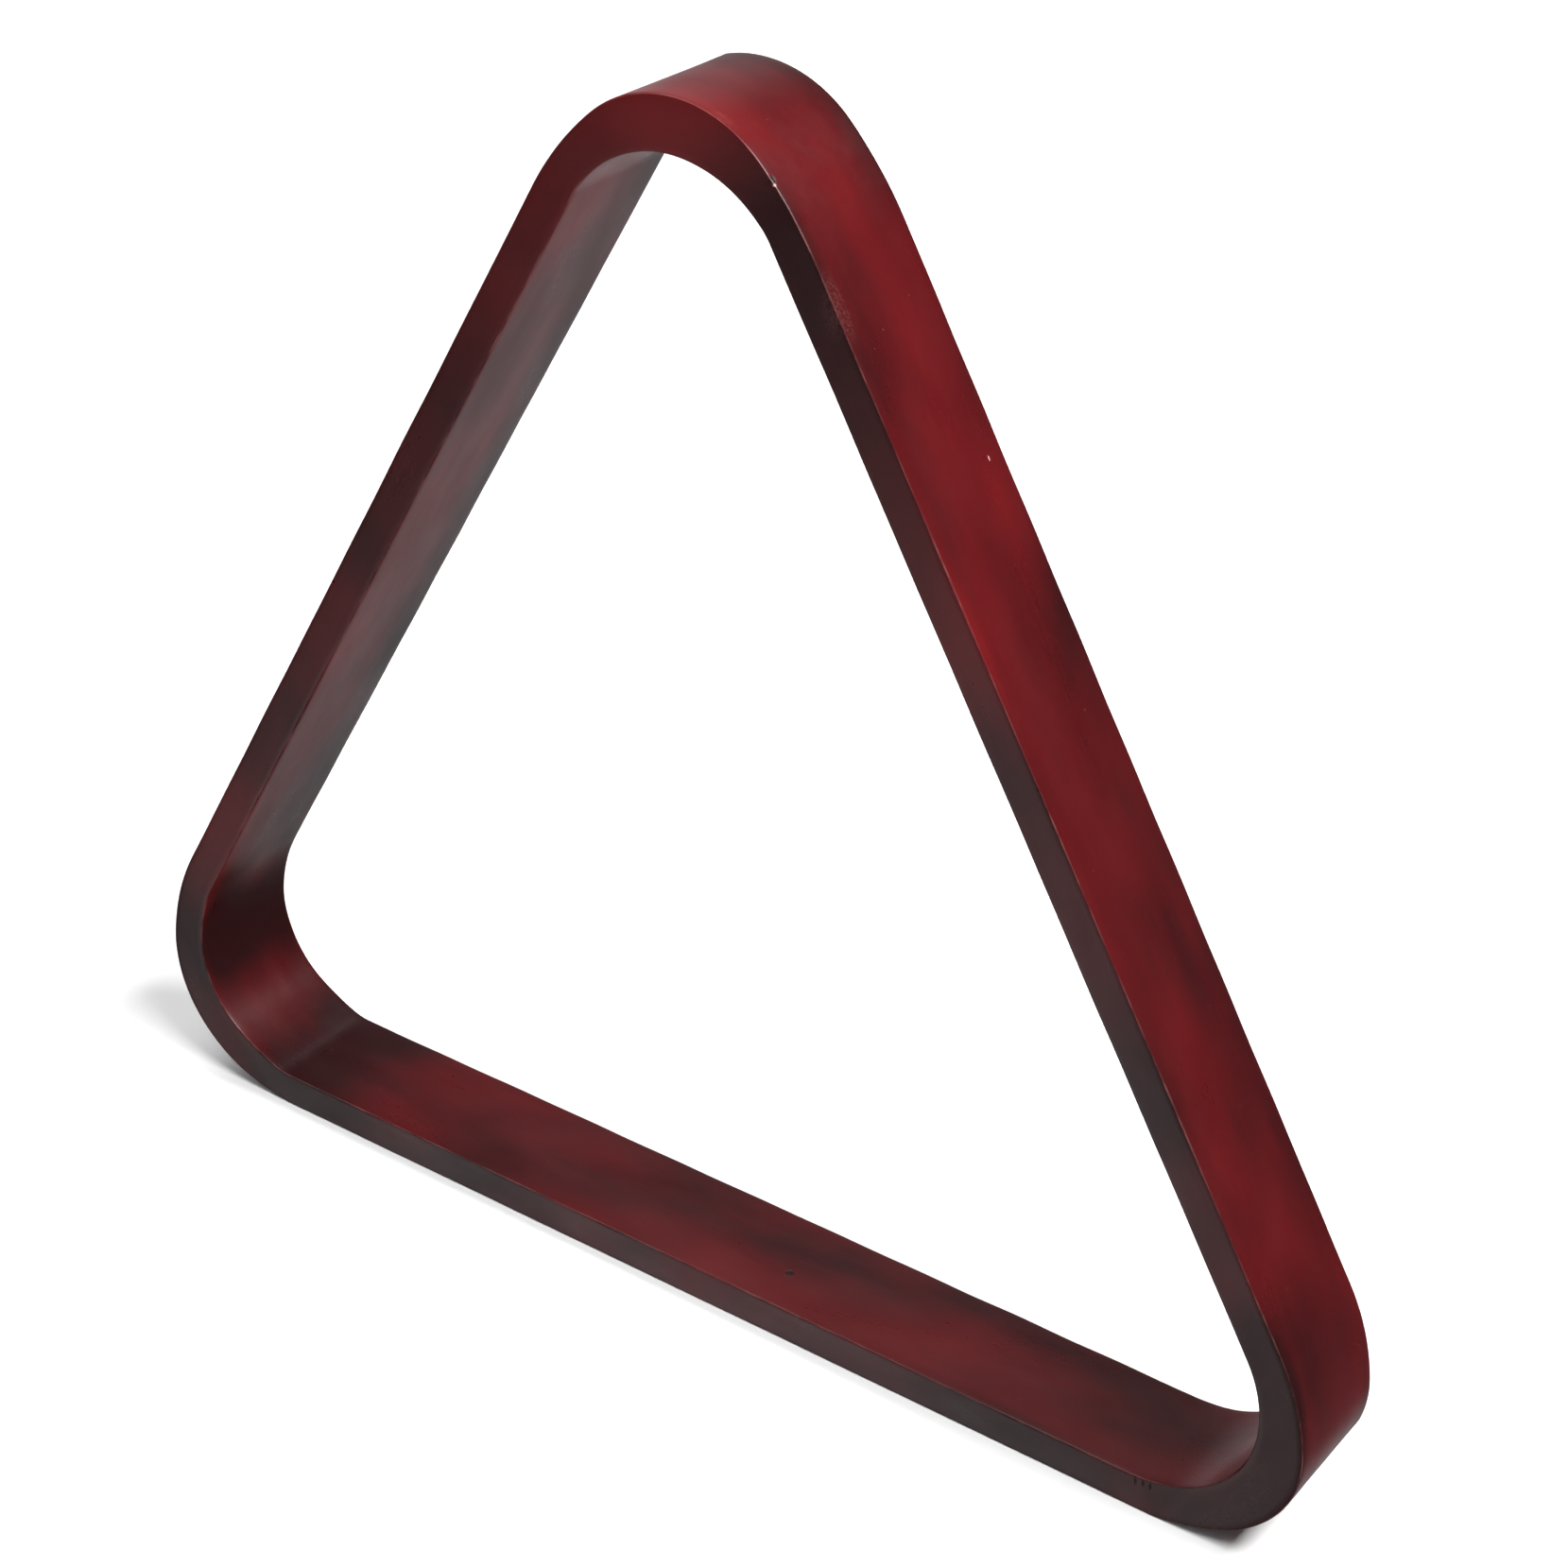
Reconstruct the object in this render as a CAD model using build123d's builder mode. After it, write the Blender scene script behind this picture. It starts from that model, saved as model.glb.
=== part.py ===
from build123d import *
import math
import os

# Triangle rack for fifteen pool balls: a glued wooden frame that stands on its bottom rail.
# X runs along the bottom rail, Y through the depth of the frame (its front face is at -Y), and Z is up.
# The origin is the middle of the bottom rail's underside. Lengths are in millimetres, angles in degrees.

# Driving dimensions
BALL_DIAMETER = 57.15
BALLS_ON_A_SIDE = 5
BALL_CLEARANCE = 0.43  # between the racked balls and each rail
RAIL_THICKNESS = 8.5
FRAME_DEPTH = 29.0
ARRIS_RADIUS = 0.7  # the sanded long edges of the frame

# Corners: one arc inside, and outside a tip arc that two flatter flank arcs blend into the rails
INNER_CORNER_RADIUS = 27.85
TIP_RADIUS = 27.8
FLANK_RADIUS = 63.5
FLANK_ANGLE = 21.1

# Glue joints between the rails and the corner blocks, each held by a front and a back dowel
JOINT_DISTANCE = 120.0  # from the middle of a side to its glue joints
DOWEL_DIAMETER = 4.0
DOWEL_HOLE_DIAMETER = 4.05
DOWEL_DEPTH_IN_RAIL = 12.0
DOWEL_DEPTH_IN_CORNER = 8.0
GLUE_ROOM = 0.5  # past each end of a dowel
DOWEL_SPACING = 14.0  # between the front and the back dowel
DOWEL_INSET = 3.3  # from a rail's inner wall to its dowels' axes
DOWEL_END_CHAMFER = 0.4
FLUTE_COUNT = 10
FLUTE_RADIUS = 0.25

# Derived dimensions. The balls' centres fill an equilateral triangle, whose inradius is its side / (2 * sqrt 3)
BALL_CENTRES_INRADIUS = (BALLS_ON_A_SIDE - 1) * BALL_DIAMETER / (2 * math.sqrt(3))
INNER_INRADIUS = BALL_CENTRES_INRADIUS + BALL_DIAMETER / 2 + BALL_CLEARANCE
OUTER_INRADIUS = INNER_INRADIUS + RAIL_THICKNESS
DOWEL_OFFSET = INNER_INRADIUS + DOWEL_INSET  # from the triangle's centre to the dowels' axes
DOWEL_LENGTH = DOWEL_DEPTH_IN_RAIL + DOWEL_DEPTH_IN_CORNER

# Outward directions in the plane of the frame: 0 is +X and 90 is +Z
RAILS = {"base_rail": -90.0, "right_rail": 30.0, "left_rail": 150.0}
CORNERS = {"right_corner": -30.0, "apex_corner": 90.0, "left_corner": 210.0}
CORNER_TO_RAIL = 60.0  # from a corner's direction to the directions of the two rails that it joins
QUARTER_TURN = 90.0
FRAME_PLANE = Plane(origin=(0, 0, OUTER_INRADIUS), x_dir=(1, 0, 0), z_dir=(0, -1, 0))

# Each rail ends in two joints: +1 is its counter-clockwise end, -1 its clockwise end
JOINTS = [
    ("base_rail", +1, "right_corner"),
    ("right_rail", -1, "right_corner"),
    ("right_rail", +1, "apex_corner"),
    ("left_rail", -1, "apex_corner"),
    ("left_rail", +1, "left_corner"),
    ("base_rail", -1, "left_corner"),
]


def flat_direction(angle):
    """Unit vector at this direction, in the frame plane's own two coordinates."""
    return Vector(math.cos(math.radians(angle)), math.sin(math.radians(angle)))


def outward(angle):
    """The same unit vector in space."""
    return Vector(math.cos(math.radians(angle)), 0, math.sin(math.radians(angle)))


def outer_corner_arcs(angle):
    """Draws the flank, tip and flank arcs of one outer corner, each tangent to the next and to the rails."""
    centre_shift = FLANK_RADIUS - TIP_RADIUS
    tip_inset = TIP_RADIUS + centre_shift * (1 - math.cos(math.radians(FLANK_ANGLE)))
    tip_centre = flat_direction(angle) * ((OUTER_INRADIUS - tip_inset) / math.cos(math.radians(CORNER_TO_RAIL)))
    tip_start = angle - CORNER_TO_RAIL + FLANK_ANGLE
    tip_end = angle + CORNER_TO_RAIL - FLANK_ANGLE
    first_centre = tip_centre - flat_direction(tip_start) * centre_shift
    last_centre = tip_centre - flat_direction(tip_end) * centre_shift
    first_flank = CenterArc(first_centre, FLANK_RADIUS, angle - CORNER_TO_RAIL, FLANK_ANGLE)
    CenterArc(tip_centre, TIP_RADIUS, tip_start, tip_end - tip_start)
    last_flank = CenterArc(last_centre, FLANK_RADIUS, tip_end, FLANK_ANGLE)
    return first_flank @ 0, last_flank @ 1


def routed_frame():
    """The frame as one profile, routed after glue-up. The pieces are cut from it, so they meet flush."""
    with BuildPart() as frame:
        with BuildSketch(FRAME_PLANE):
            with BuildLine():
                ends = [outer_corner_arcs(angle) for angle in CORNERS.values()]
                for (_, corner_end), (next_start, _) in zip(ends, ends[1:] + ends[:1]):
                    Line(corner_end, next_start)
            make_face()
        extrude(amount=FRAME_DEPTH / 2, both=True)
        with BuildSketch(FRAME_PLANE) as opening:
            RegularPolygon(INNER_INRADIUS, side_count=3, major_radius=False, rotation=CORNERS["apex_corner"])
            fillet(opening.vertices(), INNER_CORNER_RADIUS)
        extrude(amount=FRAME_DEPTH / 2, both=True, mode=Mode.SUBTRACT)
        fillet(frame.faces().filter_by(Axis.Y).edges(), ARRIS_RADIUS)
    return frame.part


def joint_plane(rail_angle, end):
    """Plane of a glue joint, centred between its dowels. Its normal points out of the rail's end."""
    along_rail = outward(rail_angle + QUARTER_TURN) * end
    return Plane(
        origin=FRAME_PLANE.origin + outward(rail_angle) * DOWEL_OFFSET + along_rail * JOINT_DISTANCE,
        x_dir=outward(rail_angle),
        z_dir=along_rail,
    )


def drill_dowel_holes(plane, depth):
    """Drills a joint's two dowel holes into the open part, against the plane's normal."""
    with Locations(plane):
        with GridLocations(0, DOWEL_SPACING, 1, 2):
            Hole(DOWEL_HOLE_DIAMETER / 2, depth + GLUE_ROOM)


def make_rail(name, frame):
    """A straight rail: the stretch of the frame between its two glue joints."""
    angle = RAILS[name]
    joints = [joint_plane(angle, end) for end in (+1, -1)]
    halfway_out = Plane(origin=FRAME_PLANE.origin + outward(angle) * INNER_INRADIUS / 2, z_dir=outward(angle))
    with BuildPart() as rail:
        add(frame)
        for joint in joints:
            split(bisect_by=joint, keep=Keep.BOTTOM)
        split(bisect_by=halfway_out, keep=Keep.TOP)
        for joint in joints:
            drill_dowel_holes(joint, DOWEL_DEPTH_IN_RAIL)
    rail.part.label = name
    export_step(rail.part, f"parts/{name}.step")


def make_corner(name, frame):
    """A rounded corner block: what the frame has beyond the glue joints of two rails."""
    joints = [joint_plane(RAILS[rail], end) for rail, end, corner in JOINTS if corner == name]
    with BuildPart() as corner:
        add(frame)
        for joint in joints:
            split(bisect_by=joint, keep=Keep.TOP)
        for joint in joints:
            drill_dowel_holes(-joint, DOWEL_DEPTH_IN_CORNER)
    corner.part.label = name
    export_step(corner.part, f"parts/{name}.step")


def make_dowel(name, joint, offset):
    """A fluted dowel with chamfered ends, across a glue joint, at this offset through the depth."""
    rail_end = Plane(
        origin=joint.origin + Vector(0, offset, 0) - joint.z_dir * DOWEL_DEPTH_IN_RAIL,
        x_dir=joint.x_dir,
        z_dir=joint.z_dir,
    )
    with BuildPart() as dowel:
        with BuildSketch(rail_end):
            Circle(DOWEL_DIAMETER / 2)
        extrude(amount=DOWEL_LENGTH)
        chamfer(dowel.edges().filter_by(GeomType.CIRCLE), DOWEL_END_CHAMFER)
        with BuildSketch(rail_end):
            with PolarLocations(DOWEL_DIAMETER / 2, FLUTE_COUNT):
                Circle(FLUTE_RADIUS)
        extrude(amount=DOWEL_LENGTH, mode=Mode.SUBTRACT)
    dowel.part.label = name
    export_step(dowel.part, f"parts/{name}.step")


os.makedirs("parts", exist_ok=True)
whole_frame = routed_frame()

for rail_name in RAILS:
    make_rail(rail_name, whole_frame)

for corner_name in CORNERS:
    make_corner(corner_name, whole_frame)

for rail_name, rail_end, corner_name in JOINTS:
    dowel_joint = joint_plane(RAILS[rail_name], rail_end)
    make_dowel(f"dowel_{rail_name}_{corner_name}_front", dowel_joint, -DOWEL_SPACING / 2)
    make_dowel(f"dowel_{rail_name}_{corner_name}_back", dowel_joint, +DOWEL_SPACING / 2)
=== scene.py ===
"""Looks of the wooden triangle rack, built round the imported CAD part.

The rack stands on its bottom rail: +X along that rail, +Y from the front face to the back, +Z up to the
apex. Shapes are worked out in millimetres round the middle of the opening, and turned into metres where a
mesh is made.
"""

import math
import random

import bmesh
import bpy
import numpy as np
from mathutils import Matrix, Vector


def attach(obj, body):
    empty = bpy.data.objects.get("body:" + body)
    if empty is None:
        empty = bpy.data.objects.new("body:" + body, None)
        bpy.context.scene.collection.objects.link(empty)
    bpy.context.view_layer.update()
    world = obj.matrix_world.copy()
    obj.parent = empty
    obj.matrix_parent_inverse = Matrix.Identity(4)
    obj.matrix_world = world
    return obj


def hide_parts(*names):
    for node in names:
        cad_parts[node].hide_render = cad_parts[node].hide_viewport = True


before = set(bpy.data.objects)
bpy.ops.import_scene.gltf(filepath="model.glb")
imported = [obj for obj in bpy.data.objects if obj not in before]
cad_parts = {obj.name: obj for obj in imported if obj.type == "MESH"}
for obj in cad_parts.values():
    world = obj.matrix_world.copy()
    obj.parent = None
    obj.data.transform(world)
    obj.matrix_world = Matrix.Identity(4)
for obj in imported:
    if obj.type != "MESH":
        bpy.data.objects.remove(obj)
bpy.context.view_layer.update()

# ---------------------------------------------------------------- sizes, in mm and degrees

MM = 0.001
INRADIUS = 95.0
THICKNESS = 8.5
DEPTH = 29.0
CENTRE_HEIGHT = INRADIUS + THICKNESS
JOINT = 120.0  # from the middle of a side to its glue joints
TO_RAIL = 60.0  # from a corner's direction to the directions of its two rails
PIVOT = JOINT / math.sin(math.radians(TO_RAIL))  # where a corner's two joint planes meet

ARRIS = 0.38  # radius, and how far it wanders either way
ARRIS_CHANGE = 0.12
WAVE_HEIGHT = 0.05  # about how deep sanding by hand has cut into the faces
RAIL_STATIONS = 201  # cross-sections along a rail, closer together at its ends
END_CROWDING = 72.0  # degrees of a sine: nearer 90 crowds them more
CORNER_STATIONS = 97
CORNER_HALF_LENGTH = 32.0  # along the middle of a corner block

DOWEL_HOLE_RADIUS = 4.05 / 2
DOWEL_SPREAD = 14.0 / 2
DOWEL_INSET = 3.3
DOWEL_REACH = {"rail": 12.5, "corner": 8.5}
HOLE_SIDES = 24

# Direction of each rail and corner from the middle of the opening: 0 is +X and 90 is +Z.
RAILS = {"right_rail": 30.0, "left_rail": 150.0, "base_rail": 270.0}
CORNERS = {"apex_corner": 90.0, "left_corner": 210.0, "right_corner": 330.0}

# The corners were shaped by hand: a tip arc between two flatter flanks, and no two corners alike.
# A flank is (radius, angle turned through where the tip takes over, angle that it starts at).
# The first flank meets the rail clockwise of the corner, the second the rail past it.
INNER_CORNERS = {
    "apex_corner": (27.1, (35.2, 26.1, 11.4), (32.0, 20.2, 5.1)),
    "left_corner": (25.3, (40.1, 23.6, 0.0), (47.5, 34.2, 17.0)),
    "right_corner": (26.9, (34.0, 15.0, 0.0), (34.0, 15.0, 0.0)),
}
OUTER_CORNERS = {
    "apex_corner": (29.0, (80.8, 15.0, 0.0), (71.1, 18.4, 0.0)),
    "left_corner": (31.6, (66.7, 21.1, 0.0), (59.4, 15.2, 2.0)),
    "right_corner": (28.1, (60.5, 24.6, 8.9), (54.9, 23.9, 0.0)),
}
# Where the back of a tip was sanded flat: between these angles from the corner's own direction.
FLATS = {"apex_corner": (18.0, 41.5), "right_corner": (0.0, 11.7)}
NO_FLAT = (0.0, 0.0)
EASE = 14.0  # radius of the arc that eases the crease between a rail and a flank
ARC_STEPS = 40

# ---------------------------------------------------------------- outlines


def unit(degrees):
    return np.array([math.cos(math.radians(degrees)), math.sin(math.radians(degrees))])


def left_of(vector):
    """The same vector a quarter turn anticlockwise."""
    return np.array([-vector[1], vector[0]])


def eased(radius, start):
    """The angle where a flank takes over from the arc that eases its crease with the rail."""
    cosine = (radius * math.cos(math.radians(start)) - EASE) / (radius - EASE)
    return math.degrees(math.acos(min(1.0, cosine)))


def corner_outline(inradius, tip, first, second, flat):
    """Points of one corner that points along +X: crease, first flank, tip, second flank, crease."""
    sides = np.array([unit(-TO_RAIL), unit(TO_RAIL)])
    changes = (-TO_RAIL + first[1], TO_RAIL - second[1])
    reach = [
        inradius - radius * math.cos(math.radians(start)) + (radius - tip) * (unit(change) @ side)
        for (radius, _, start), change, side in zip((first, second), changes, sides)
    ]
    centre = np.linalg.solve(sides, reach)
    first_centre = centre - (first[0] - tip) * unit(changes[0])
    second_centre = centre - (second[0] - tip) * unit(changes[1])
    first_begins = -TO_RAIL + eased(first[0], first[2])
    second_ends = TO_RAIL - eased(second[0], second[2])
    arcs = (
        (first_centre + (first[0] - EASE) * unit(first_begins), EASE, -TO_RAIL, first_begins),
        (first_centre, first[0], first_begins, changes[0]),
        (centre, tip, changes[0], changes[1]),
        (second_centre, second[0], changes[1], second_ends),
        (second_centre + (second[0] - EASE) * unit(second_ends), EASE, second_ends, TO_RAIL),
    )
    return np.array([
        middle + radius * unit(angle)
        for middle, radius, begin, end in arcs
        for angle in np.linspace(begin, end, ARC_STEPS)
        if radius != tip or not flat[0] < angle < flat[1]
    ])


def outline(inradius, corners, flats):
    """The whole closed outline, anticlockwise; the straight rails are its gaps between two corners."""
    loops = []
    for name, shape in corners.items():
        c, s = unit(CORNERS[name])
        loop = corner_outline(inradius, *shape, flats.get(name, NO_FLAT))
        loops.append(loop @ np.array([[c, s], [-s, c]]))
    return np.concatenate(loops)


INNER = outline(INRADIUS, INNER_CORNERS, {})
OUTER = outline(INRADIUS + THICKNESS, OUTER_CORNERS, {})
OUTER_BACK = outline(INRADIUS + THICKNESS, OUTER_CORNERS, FLATS)


def reach_to(loop, origin, ray):
    """How far from origin the closed outline is last crossed along the unit vector ray."""
    a = loop - origin
    b = np.roll(loop, -1, axis=0) - origin
    side_a = ray[0] * a[:, 1] - ray[1] * a[:, 0]
    side_b = ray[0] * b[:, 1] - ray[1] * b[:, 0]
    crosses = (side_a * side_b <= 0) & (side_a != side_b)
    share = side_a[crosses] / (side_a[crosses] - side_b[crosses])
    return ((a[crosses] + share[:, None] * (b[crosses] - a[crosses])) @ ray).max()


def spot(rail, along, depth, wall="outer", lift=0.0):
    """A place on a rail's side of the frame, in metres.

    It is along mm from the side's middle and depth mm from mid depth, lift mm off that wall into the wood.
    """
    out = unit(RAILS[rail])
    origin = along * left_of(out)
    loop, sign = (OUTER, -1) if wall == "outer" else (INNER, 1)
    x, z = origin + (reach_to(loop, origin, out) + sign * lift) * out
    return (x * MM, depth * MM, (z + CENTRE_HEIGHT) * MM)


# ---------------------------------------------------------------- wooden pieces


def wander(seed):
    """A slow change along a length in mm, from about -1 to 1, as sanding by hand leaves."""
    rng = random.Random(seed)
    waves = [(rng.uniform(0.02, 0.11), rng.uniform(0, math.tau)) for _ in range(5)]
    return lambda s: sum(math.sin(s * pace + phase) for pace, phase in waves) / 2.5


def stations(kind, heading):
    """Each cross-section's (origin, outward unit vector, place along the piece from -1 to 1)."""
    out = unit(heading)
    if kind == "rail":
        crowding = math.radians(END_CROWDING)
        shares = np.sin(np.linspace(-1, 1, RAIL_STATIONS) * crowding) / math.sin(crowding)
        return [(share * JOINT * left_of(out), out, share) for share in shares]
    shares = np.linspace(-1, 1, CORNER_STATIONS)
    return [(PIVOT * out, unit(heading + share * TO_RAIL), share) for share in shares]


def cross_section(width, arrises):
    """A closed section's points, each as outward mm, depth mm, the normal's two parts and a share.

    The share is 1 in the middle of an arris and 0 on the flat faces.
    """
    half = DEPTH / 2
    corners = (
        ((0, -half), 180, 9),
        ((width, -half), 270, 24),
        ((width, half), 0, 9),
        ((0, half), 90, 24),
    )
    rows = []
    for i, (point, begin, flat_steps) in enumerate(corners):
        radius = arrises[i]
        middle = np.array(point) - radius * (unit(begin) + unit(begin + 90))
        for angle in np.linspace(begin, begin + 90, 7):
            onto_arris = math.sin(math.radians(2 * (angle - begin)))
            rows.append((*(middle + radius * unit(angle)), *unit(angle), onto_arris))
        normal = unit(begin + 90)
        start = np.array(rows[-1][:2])
        end = np.array(corners[(i + 1) % 4][0]) - arrises[(i + 1) % 4] * left_of(normal)
        for share in np.linspace(0, 1, flat_steps)[1:-1]:
            rows.append((*(start + share * (end - start)), *normal, 0.0))
    return rows


class WoodPiece:
    """One block of timber: its mesh, and on each point where that lies in the timber."""

    def __init__(self, name, kind, heading):
        self.name, self.kind, self.heading = name, kind, heading
        self.along, self.across = left_of(unit(heading)), unit(heading)
        self.start = random.Random(name).uniform(0, 900)
        self.mesh = bmesh.new()
        self.grain = self.mesh.verts.layers.float_vector.new("grain_mm")
        self.worn = self.mesh.verts.layers.float.new("worn")

    def vertex(self, point, depth, worn=0.0):
        v = self.mesh.verts.new((point[0] * MM, depth * MM, (point[1] + CENTRE_HEIGHT) * MM))
        v[self.grain] = (point @ self.along + self.start, point @ self.across, depth)
        v[self.worn] = worn
        return v

    def skin(self):
        """The four long sides, one ring of points a station."""
        changes = [wander(f"{self.name} {side}") for side in range(6)]
        rings = []
        for origin, out, share in stations(self.kind, self.heading):
            travel = share * (JOINT if self.kind == "rail" else CORNER_HALF_LENGTH)
            fade = 1 - share**8  # so that neighbours meet flush at a joint
            inner, outer, back = (reach_to(loop, origin, out) for loop in (INNER, OUTER, OUTER_BACK))
            arrises = [ARRIS + ARRIS_CHANGE * fade * change(travel * 2.5) for change in changes[:4]]
            ring = []
            for e, y, normal_e, normal_y, worn in cross_section(outer - inner, arrises):
                swell = changes[4](travel + 2 * y) * changes[5](travel * 0.4 - 3 * y)
                dip = WAVE_HEIGHT * max(0.2, fade * (1.3 + swell) / 2)
                towards_back = 0.5 + y / DEPTH
                e *= 1 - (outer - back) / (outer - inner) * towards_back
                point = origin + (inner + e - normal_e * dip) * out
                ring.append(self.vertex(point, y - normal_y * dip, worn))
            rings.append(ring)
        for ring, following in zip(rings, rings[1:]):
            self.band(ring, following)
        return rings

    def band(self, ring, following):
        """Smooth faces between two closed rings."""
        for j in range(len(ring)):
            k = (j + 1) % len(ring)
            self.mesh.faces.new((ring[j], ring[k], following[k], following[j])).smooth = True

    def end(self, ring, origin, out, inward):
        """A flat sawn end with its two dowel holes."""
        loops = [ring]
        middle = origin + (INRADIUS + DOWEL_INSET - origin @ out) * out
        for y in (-DOWEL_SPREAD, DOWEL_SPREAD):
            mouth, bottom = (
                [
                    self.vertex(
                        middle + DOWEL_HOLE_RADIUS * math.cos(a) * out + into * inward,
                        y + DOWEL_HOLE_RADIUS * math.sin(a),
                    )
                    for a in np.linspace(0, math.tau, HOLE_SIDES + 1)[:-1]
                ]
                for into in (0.0, DOWEL_REACH[self.kind])
            )
            self.band(mouth, bottom)
            self.mesh.faces.new(bottom)
            loops.append(mouth)
        pairs = [pair for loop in loops for pair in zip(loop, loop[1:] + loop[:1])]
        edges = [self.mesh.edges.get(pair) for pair in pairs]
        for edge in edges:
            edge.smooth = False
        bmesh.ops.triangle_fill(self.mesh, use_beauty=True, edges=edges)

    def make(self, material):
        rings = self.skin()
        places = stations(self.kind, self.heading)
        for index, sign in ((0, 1), (-1, -1)):
            origin, out, _ = places[index]
            self.end(rings[index], origin, out, sign * left_of(out))
        bmesh.ops.recalc_face_normals(self.mesh, faces=self.mesh.faces)
        data = bpy.data.meshes.new(self.name)
        self.mesh.to_mesh(data)
        self.mesh.free()
        data.materials.append(material)
        piece = bpy.data.objects.new(f"{self.name}_wood", data)
        bpy.context.scene.collection.objects.link(piece)
        return piece


# ---------------------------------------------------------------- materials


class Shader:
    """A small node builder: inputs may be numbers, colours, or another node's output."""

    def __init__(self, owner):
        self.owner = owner
        owner.use_nodes = True
        self.tree = owner.node_tree
        self.tree.nodes.clear()

    def node(self, kind, output=0, inputs=(), **settings):
        made = self.tree.nodes.new(f"ShaderNode{kind}")
        for key, value in settings.items():
            setattr(made, key, value)
        for key, value in dict(inputs).items():
            if isinstance(value, bpy.types.NodeSocket):
                self.tree.links.new(value, made.inputs[key])
            else:
                made.inputs[key].default_value = value
        return made if output is None else made.outputs[output]

    def math(self, operation, a, b=0.0, clamp=False):
        return self.node("Math", 0, {0: a, 1: b}, operation=operation, use_clamp=clamp)

    def scaled(self, vector, factors):
        return self.node("VectorMath", 0, {0: vector, 1: factors}, operation="MULTIPLY")

    def noise(self, vector, detail=2.0, roughness=0.5, distortion=0.0):
        inputs = {"Vector": vector, "Scale": 1.0, "Detail": detail}
        inputs |= {"Roughness": roughness, "Distortion": distortion}
        return self.node("TexNoise", 0, inputs)

    def ramp(self, value, low, high, to_low=0.0, to_high=1.0):
        """A smooth step of value from low to high."""
        inputs = {"Value": value, "From Min": low, "From Max": high, "To Min": to_low, "To Max": to_high}
        return self.node("MapRange", 0, inputs, interpolation_type="SMOOTHSTEP")

    def mix(self, share, a, b):
        return self.node("Mix", 2, {0: share, 6: a, 7: b}, data_type="RGBA")

    def near(self, place, centre, radii):
        """1 at centre, falling to 0 on an ellipsoid round it; centre in metres and radii in mm."""
        off = self.node("VectorMath", 0, {0: place, 1: centre}, operation="SUBTRACT")
        size = self.node("VectorMath", 0, {0: off, 1: tuple(r * MM for r in radii)}, operation="DIVIDE")
        length = self.node("VectorMath", 1, {0: size}, operation="LENGTH")
        return self.ramp(length, 1.0, 0.0)

    def near_any(self, place, marks):
        """The largest near() of several (centre, radii)."""
        largest = 0.0
        for centre, radii in marks:
            largest = self.math("MAXIMUM", largest, self.near(place, centre, radii))
        return largest

    def added(self, total, *terms):
        """The total plus each (value, weight)."""
        for value, weight in terms:
            total = self.math("ADD", total, self.math("MULTIPLY", value, weight))
        return total

    def surface(self, **inputs):
        """Ends the material in one Principled shader, and gives the material back."""
        named = {key.replace("_", " "): value for key, value in inputs.items()}
        shader = self.node("BsdfPrincipled", 0, named)
        self.node("OutputMaterial", None, {"Surface": shader})
        return self.owner


LACQUER_IOR = 1.45
TONE = 0.46  # how red the toner is on the whole: 0 is DEEP, about 0.5 is STAIN and 1 is GLOW
DEEP = (0.020, 0.0026, 0.0032, 1)
STAIN = (0.068, 0.0030, 0.0042, 1)
GLOW = (0.125, 0.0052, 0.0068, 1)
RUBBED = (0.26, 0.085, 0.08, 1)
PIT = (0.012, 0.003, 0.003, 1)
NICK = (0.42, 0.24, 0.20, 1)

# Toner sprayed thicker or thinner, mixed with painted light and shade (painted shade inside the left
# corner and along the bottom rail's inner side, painted light on the top of the apex, painted light and
# shade on the front face): (place in metres, radii in mm, added tone).
TONER_AND_PAINTED_LIGHT_PATCHES = (
    (spot("left_rail", 131, 0, "inner"), (20, 34, 19), -0.62),
    (spot("base_rail", -134, -4, "inner"), (14, 20, 16), 0.12),
    (spot("base_rail", -114, 2, "inner"), (30, 40, 14), -0.56),
    (spot("base_rail", 118, 0, "inner"), (30, 30, 10), -0.22),
    (spot("left_rail", -128, -8), (48, 20, 40), 0.42),
    (spot("right_rail", 142, -8), (24, 20, 20), 0.24),
    (spot("right_rail", 125, 6), (24, 14, 26), 0.30),
    (spot("right_rail", 96, -10), (28, 12, 32), -0.42),
    (spot("right_rail", 98, 9), (24, 13, 26), 0.26),
    (spot("right_rail", 58, 9), (26, 12, 30), 0.26),
    (spot("right_rail", 40, -8), (20, 11, 22), 0.18),
    (spot("right_rail", -36, 0), (26, 18, 28), -0.24),
    (spot("right_rail", -74, -8), (18, 12, 20), 0.18),
    (spot("right_rail", -122, 0), (26, 22, 26), -0.34),
    (spot("right_rail", 118, -14.3, "outer", 5), (20, 4, 22), -0.25),
    (spot("right_rail", 150, -14.3, "outer", 4), (22, 4, 18), 0.34),
    (spot("right_rail", 40, -14.3, "outer", 4), (26, 4, 42), 0.26),
    (spot("right_rail", -132, -14.3, "outer", 4), (26, 4, 40), -0.45),
    (spot("left_rail", 98, -14.3, "outer", 4), (40, 4, 60), 0.30),
    (spot("left_rail", -92, -14.3, "outer", 4), (22, 4, 34), 0.12),
    (spot("base_rail", 86, -14.3, "outer", 4), (60, 4, 16), -0.32),
    (spot("left_rail", -13, -14.3, "outer", 4), (22, 4, 28), -0.22),
    (spot("right_rail", -60, -14.3, "outer", 4), (30, 4, 36), -0.12),
    (spot("base_rail", 10, 0, "inner"), (110, 30, 12), -0.10),
    (spot("base_rail", 140, -14.3, "outer", 4), (26, 4, 26), -0.28),
    (spot("base_rail", -128, -14.3, "outer", 4), (34, 4, 34), 0.12),
)
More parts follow.
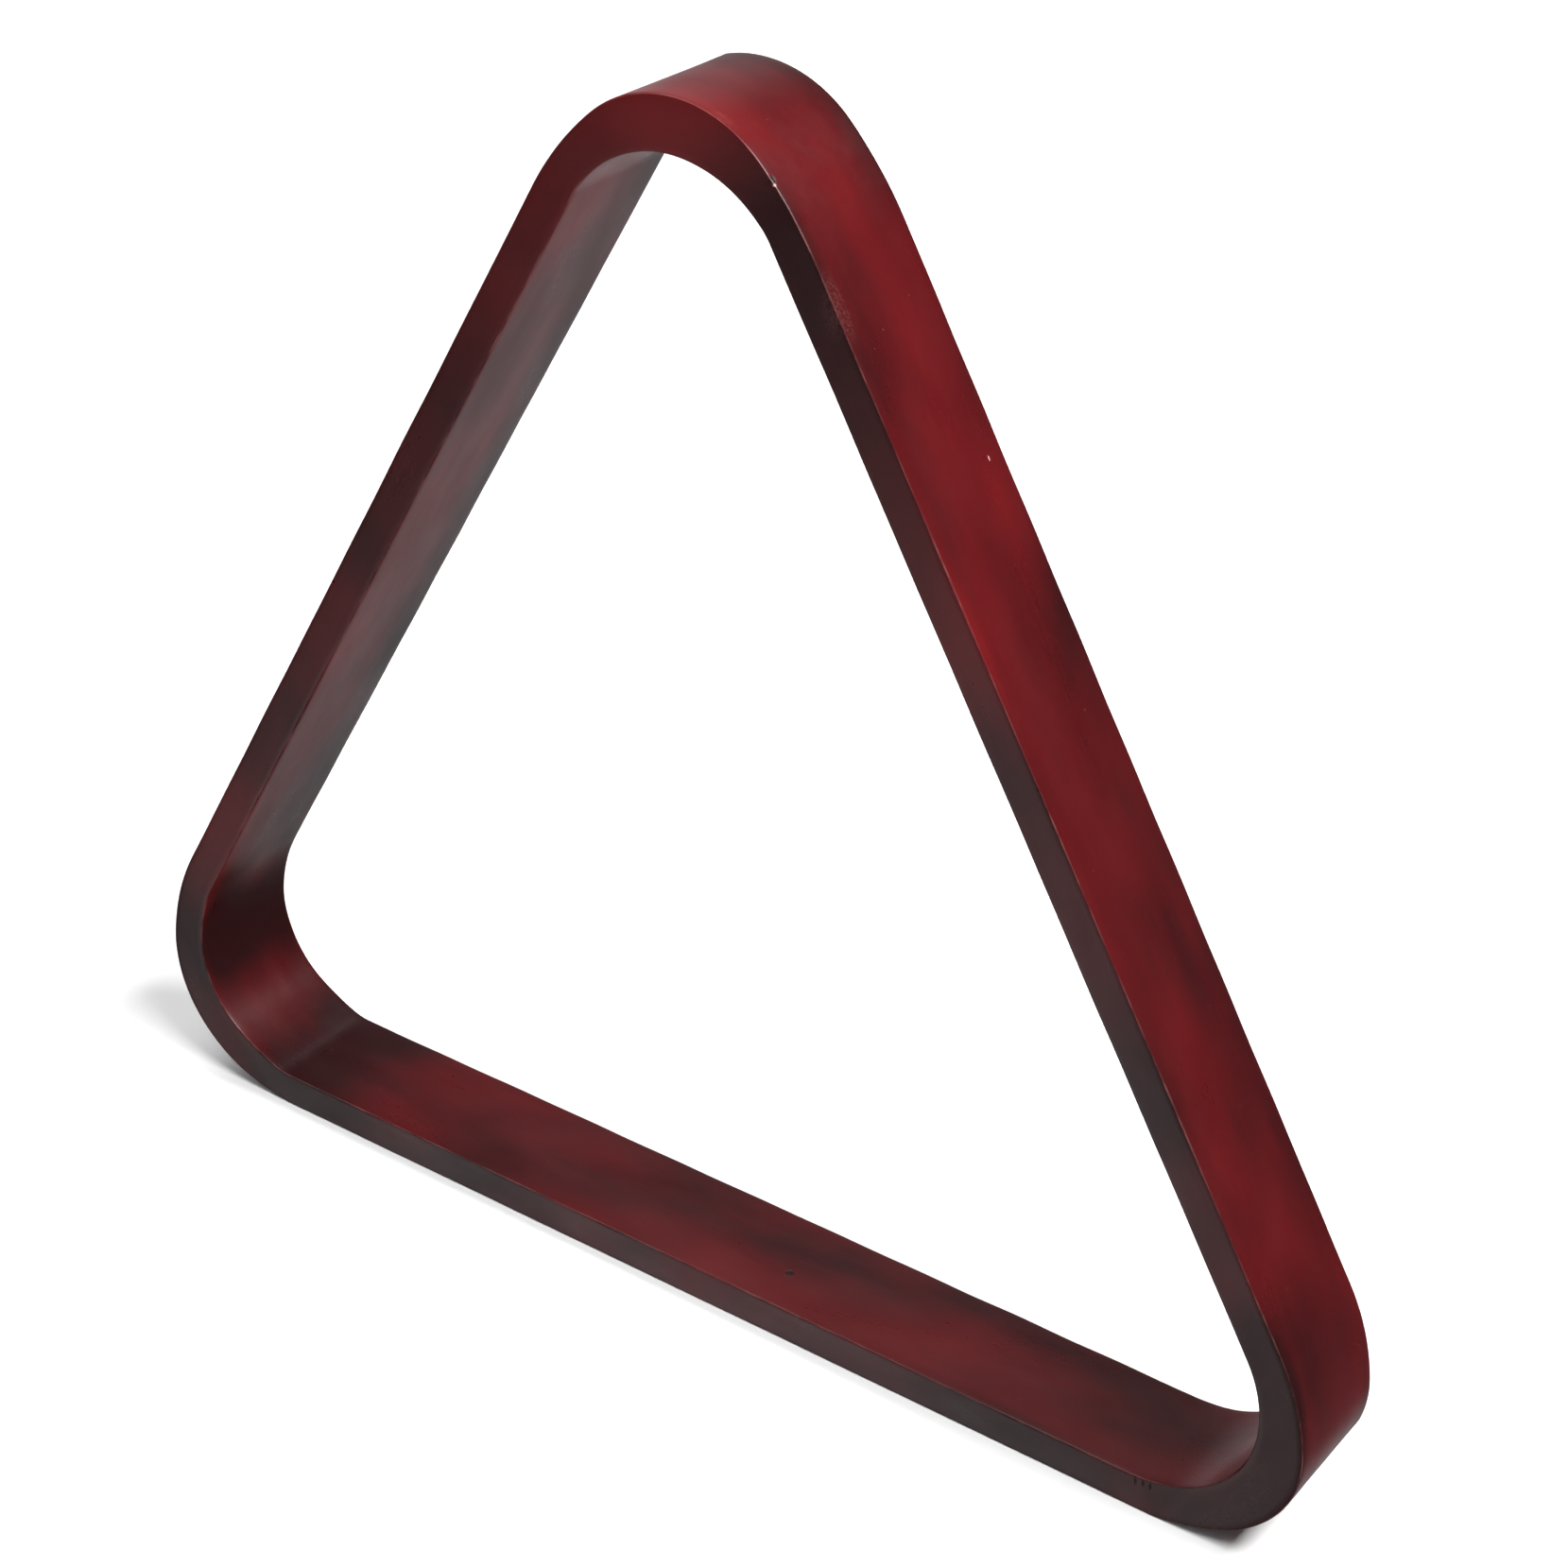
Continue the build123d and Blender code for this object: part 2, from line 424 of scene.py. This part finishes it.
# Small dark pits: (place in metres, radii in mm).
PITS = (
    (spot("base_rail", 22.9, -3.5, "inner"), (1.6, 1.6, 1.0)),
    (spot("base_rail", 118.5, -14.3, "inner", 1.3), (0.35, 0.8, 1.5)),
    (spot("base_rail", 120.3, -14.3, "inner", 1.2), (0.35, 0.8, 1.3)),
    (spot("base_rail", 122.0, -14.3, "inner", 1.5), (0.35, 0.8, 1.1)),
    (spot("base_rail", -120, -9.8, "inner"), (1.6, 0.5, 1.0)),
    (spot("right_rail", 129.6, -13.9, "outer", 0.5), (1.3, 1.0, 1.4)),
)
# Pale nicks, down to the ground coat: (place in metres, radii in mm).
NICKS = (
    (spot("right_rail", 65.5, 9.8), (0.8, 0.35, 1.0)),
    (spot("right_rail", 128.6, -14.2, "outer", 0.3), (0.7, 0.5, 0.6)),
)
# Places rubbed dull through handling: (place in metres, radii in mm).
SCUFFS = (
    (spot("right_rail", 104, -13.0), (8.0, 3.0, 13.0)),
    (spot("right_rail", 143, -13.0), (5.0, 1.8, 4.0)),
)


def wood_material():
    s = Shader(bpy.data.materials.new("stained_mahogany"))
    grain = s.node("Attribute", 1, attribute_name="grain_mm")
    worn = s.node("Attribute", 2, attribute_name="worn")
    place = s.node("TexCoord", 3)
    normal = s.node("NewGeometry", 1)
    depth = s.node("SeparateXYZ", 1, {0: place})
    facing = s.math("ABSOLUTE", s.node("SeparateXYZ", 1, {0: normal}))

    toner = s.scaled(place, (1000, 1000, 1000))
    clouds = s.noise(s.scaled(toner, (0.024, 0.06, 0.024)), detail=2.5, roughness=0.5)
    broad = s.noise(s.scaled(toner, (0.009, 0.02, 0.009)), detail=1.0)
    streaks = s.noise(s.scaled(grain, (0.035, 0.8, 0.8)), detail=5.0, roughness=0.6, distortion=0.2)
    fibres = s.noise(s.scaled(grain, (0.22, 5.0, 5.0)), detail=3.0, roughness=0.7)

    noises = ((clouds, 0.95), (broad, 0.7), (streaks, 0.20), (fibres, 0.12))
    tone = s.added(TONE, *((s.math("SUBTRACT", noise, 0.5), weight) for noise, weight in noises))
    # Patches of toner, and patches of painted light and shade.
    patches = ((s.near(place, centre, radii), change) for centre, radii, change in TONER_AND_PAINTED_LIGHT_PATCHES)
    tone = s.added(tone, *patches)
    towards_back = s.math("MULTIPLY", s.ramp(depth, 0.001, 0.0135), s.ramp(facing, 0.6, 0.2))
    # Darker towards the back edge of the sides; the front and back faces are darker all over, a painted
    # shade.
    tone = s.added(tone, (towards_back, -0.13), (s.ramp(facing, 0.5, 0.95), -0.20))

    colour = s.mix(s.ramp(tone, 0.0, 0.55), DEEP, STAIN)
    colour = s.mix(s.ramp(tone, 0.4, 1.05), colour, GLOW)

    patchy = s.noise(s.scaled(toner, (0.12, 0.5, 0.12)), detail=4.0, roughness=0.65)
    rub = s.math("MULTIPLY", s.ramp(worn, 0.35, 1.0), s.ramp(patchy, 0.38, 0.72), clamp=True)
    colour = s.mix(s.math("MULTIPLY", rub, 0.45), colour, RUBBED)

    dust = s.node("TexVoronoi", None, {"Vector": toner, "Scale": 0.25}, feature="F1")
    dot = s.ramp(dust.outputs["Distance"], 0.055, 0.03)
    dots = s.math("MULTIPLY", dot, s.ramp(dust.outputs["Color"], 0.60, 0.64))
    colour = s.mix(s.math("MULTIPLY", dots, 0.35), colour, RUBBED)

    pit, nick, scuff = (s.near_any(place, marks) for marks in (PITS, NICKS, SCUFFS))
    grit = s.noise(s.scaled(toner, (2.4, 2.4, 2.4)), detail=2.0)
    scuffed = s.math("MULTIPLY", s.ramp(scuff, 0.05, 0.7), s.ramp(grit, 0.40, 0.62))
    colour = s.mix(s.math("MULTIPLY", scuffed, 0.18), colour, RUBBED)
    colour = s.mix(s.ramp(pit, 0.2, 0.6), colour, PIT)
    colour = s.mix(s.ramp(nick, 0.2, 0.6), colour, NICK)

    haze = s.noise(s.scaled(grain, (0.03, 0.09, 0.09)), detail=4.0, roughness=0.6)
    roughness = s.added(s.ramp(haze, 0.3, 0.7, 0.27, 0.35), (rub, 0.10))

    peel = s.noise(s.scaled(grain, (0.9, 0.9, 0.9)), detail=3.0, roughness=0.55)
    relief = s.added(0.0, (peel, 0.35), (streaks, 0.35), (fibres, 0.16), (pit, -6.0), (nick, -3.0))
    bump = s.node("Bump", 0, {"Strength": 0.5, "Distance": 0.00004, "Height": relief})
    return s.surface(Base_Color=colour, Roughness=roughness, IOR=LACQUER_IOR, Normal=bump)


def dowel_material():
    """Pale beech with short flecks along the dowel."""
    s = Shader(bpy.data.materials.new("beech_dowel"))
    place = s.node("TexCoord", 3)
    rays = s.noise(s.scaled(place, (900, 900, 900)), detail=4.0, roughness=0.6, distortion=0.4)
    flecks = s.ramp(s.noise(s.scaled(place, (2600, 700, 2600)), detail=2.0), 0.60, 0.70)
    colour = s.mix(s.ramp(rays, 0.3, 0.7), (0.50, 0.31, 0.17, 1), (0.66, 0.45, 0.27, 1))
    colour = s.mix(s.math("MULTIPLY", flecks, 0.5), colour, (0.30, 0.16, 0.08, 1))
    bump = s.node("Bump", 0, {"Strength": 0.4, "Distance": 0.00003, "Height": rays})
    return s.surface(Base_Color=colour, Roughness=s.ramp(rays, 0.2, 0.8, 0.55, 0.72), Normal=bump)


FLOOR_LOW = (0.87, 0.87, 0.87, 1)
FLOOR_HIGH = (0.89, 0.89, 0.89, 1)


def floor_material():
    """Matt studio card, very slightly uneven."""
    s = Shader(bpy.data.materials.new("studio_card"))
    place = s.node("TexCoord", 3)
    mottle = s.noise(s.scaled(place, (9, 9, 9)), detail=3.0)
    colour = s.mix(mottle, FLOOR_LOW, FLOOR_HIGH)
    return s.surface(Base_Color=colour, Roughness=0.9, Specular_IOR_Level=0.2)


# ---------------------------------------------------------------- build

wood = wood_material()
for kind, headings in (("rail", RAILS), ("corner", CORNERS)):
    for name, heading in headings.items():
        piece = WoodPiece(name, kind, heading).make(wood)
        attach(piece, "root")
        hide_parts(name)

beech = dowel_material()
for name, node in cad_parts.items():
    if name.startswith("dowel_"):
        node.data.materials.clear()
        node.data.materials.append(beech)

# ---------------------------------------------------------------- studio

FLOOR_RADIUS = 6.0


def make_floor():
    mesh = bmesh.new()
    rim = [
        mesh.verts.new((FLOOR_RADIUS * math.cos(a), FLOOR_RADIUS * math.sin(a), 0.0))
        for a in np.linspace(0, math.tau, 97)[:-1]
    ]
    mesh.faces.new(rim)
    data = bpy.data.meshes.new("studio_floor")
    mesh.to_mesh(data)
    mesh.free()
    data.materials.append(floor_material())
    floor = bpy.data.objects.new("studio_floor", data)
    bpy.context.scene.collection.objects.link(floor)
    floor.visible_glossy = False


def add_light(name, toward, distance, size, power):
    """A soft rectangular light that shines on the middle of the rack from that direction."""
    data = bpy.data.lights.new(name, "AREA")
    data.shape = "RECTANGLE"
    data.size, data.size_y = size
    data.energy = power
    light = bpy.data.objects.new(name, data)
    direction = Vector(toward).normalized()
    light.location = Vector((0, 0, CENTRE_HEIGHT * MM)) + direction * distance
    light.rotation_euler = direction.to_track_quat("Z", "Y").to_euler()
    bpy.context.scene.collection.objects.link(light)
    return light


make_floor()
add_light("key", (0.55, 0.0, 0.83), 1.5, (1.1, 0.4), 40)
add_light("top", (-0.2, 0.1, 1.0), 3.0, (2.4, 2.4), 40)
backdrop = add_light("backdrop", (-0.9, 1.3, 1.3), 1.9, (1.2, 1.2), 14)
backdrop.visible_glossy = False

# Soft panels round the studio: (direction from the rack, cosine of the angle off it where the panel fades
# out, the same where it is full, brightness).
DIM = 0.045
PANELS = (
    ((-0.46, -0.63, -0.62), 0.965, 1.00, 1.25),
    ((-0.70, 0.69, -0.20), 0.80, 0.99, 0.45),
    ((-0.15, 0.85, -0.50), 0.86, 0.985, 0.62),
    ((-0.40, 0.85, 0.35), 0.94, 1.00, 0.45),
    ((-0.60, -0.45, 0.63), 0.86, 0.98, 1.20),
    ((0.75, -0.60, 0.16), 0.86, 0.98, 0.70),
)


def studio_world():
    s = Shader(bpy.data.worlds.new("studio"))
    toward = s.node("TexCoord", 0)
    light = DIM
    for panel, fades_at, full_at, strength in PANELS:
        aim = Vector(panel).normalized()
        facing = s.node("VectorMath", 1, {0: toward, 1: aim}, operation="DOT_PRODUCT")
        light = s.math("ADD", s.ramp(facing, fades_at, full_at, 0.0, strength), light)
    background = s.node("Background", 0, {"Color": (0.96, 0.98, 1.0, 1), "Strength": light})
    s.node("OutputWorld", None, {"Surface": background})
    bpy.context.scene.world = s.owner


studio_world()

# ---------------------------------------------------------------- camera

CAMERA_FROM_CENTRE = (360.18, -481.08, 377.73)
CAMERA_TURN = 35.481
CAMERA_DOWN = 30.658
CAMERA_ROLL = 0.696
LENS = 76.96

camera_data = bpy.data.cameras.new("camera")
camera_data.sensor_width = 36.0
camera_data.lens = LENS
camera = bpy.data.objects.new("camera", camera_data)
bpy.context.scene.collection.objects.link(camera)
location = (Vector(CAMERA_FROM_CENTRE) + Vector((0, 0, CENTRE_HEIGHT))) * MM
camera.matrix_world = (
    Matrix.Translation(location)
    @ Matrix.Rotation(math.radians(CAMERA_TURN), 4, "Z")
    @ Matrix.Rotation(math.radians(90 - CAMERA_DOWN), 4, "X")
    @ Matrix.Rotation(math.radians(CAMERA_ROLL), 4, "Z")
)
bpy.context.scene.camera = camera
bpy.context.scene.view_settings.view_transform = "Standard"

bpy.context.view_layer.update()
